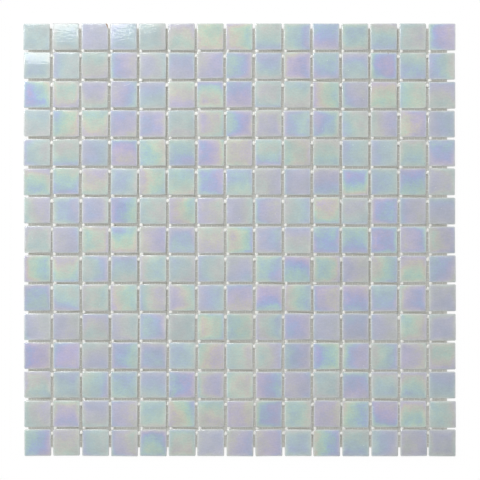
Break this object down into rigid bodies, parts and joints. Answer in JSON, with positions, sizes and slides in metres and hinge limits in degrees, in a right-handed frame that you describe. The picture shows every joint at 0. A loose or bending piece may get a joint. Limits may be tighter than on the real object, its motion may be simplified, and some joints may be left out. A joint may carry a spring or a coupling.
{
  "type": "mosaic tile sheet",
  "caption": "Flat square sheet of small square iridescent glass tiles in a grid with open joints, held by glue dots on a thin backing mesh, for lining walls, floors and pools.",
  "frame": {"origin": "under the middle of the sheet, on the underside of the backing mesh", "axes": "+X along a row of tiles, +Y towards the first row, +Z out of the glass face"},
  "size_m": [0.322, 0.322, 0.0044],
  "materials": {
    "tile_glass": "gloss",
    "glue": "satin",
    "mesh_yarn": "matte"
  },
  "bodies": {
    "root": {"tile_row_01": "tile_glass", "tile_row_02": "tile_glass", "tile_row_03": "tile_glass", "tile_row_04": "tile_glass", "tile_row_05": "tile_glass", "tile_row_06": "tile_glass", "tile_row_07": "tile_glass", "tile_row_08": "tile_glass", "tile_row_09": "tile_glass", "tile_row_10": "tile_glass", "tile_row_11": "tile_glass", "tile_row_12": "tile_glass", "tile_row_13": "tile_glass", "tile_row_14": "tile_glass", "tile_row_15": "tile_glass", "glue_dots_row_joints": "glue", "glue_dots_column_joints": "glue", "mesh_warp_yarns": "mesh_yarn", "mesh_weft_yarns": "mesh_yarn"}
  },
  "joints": []
}
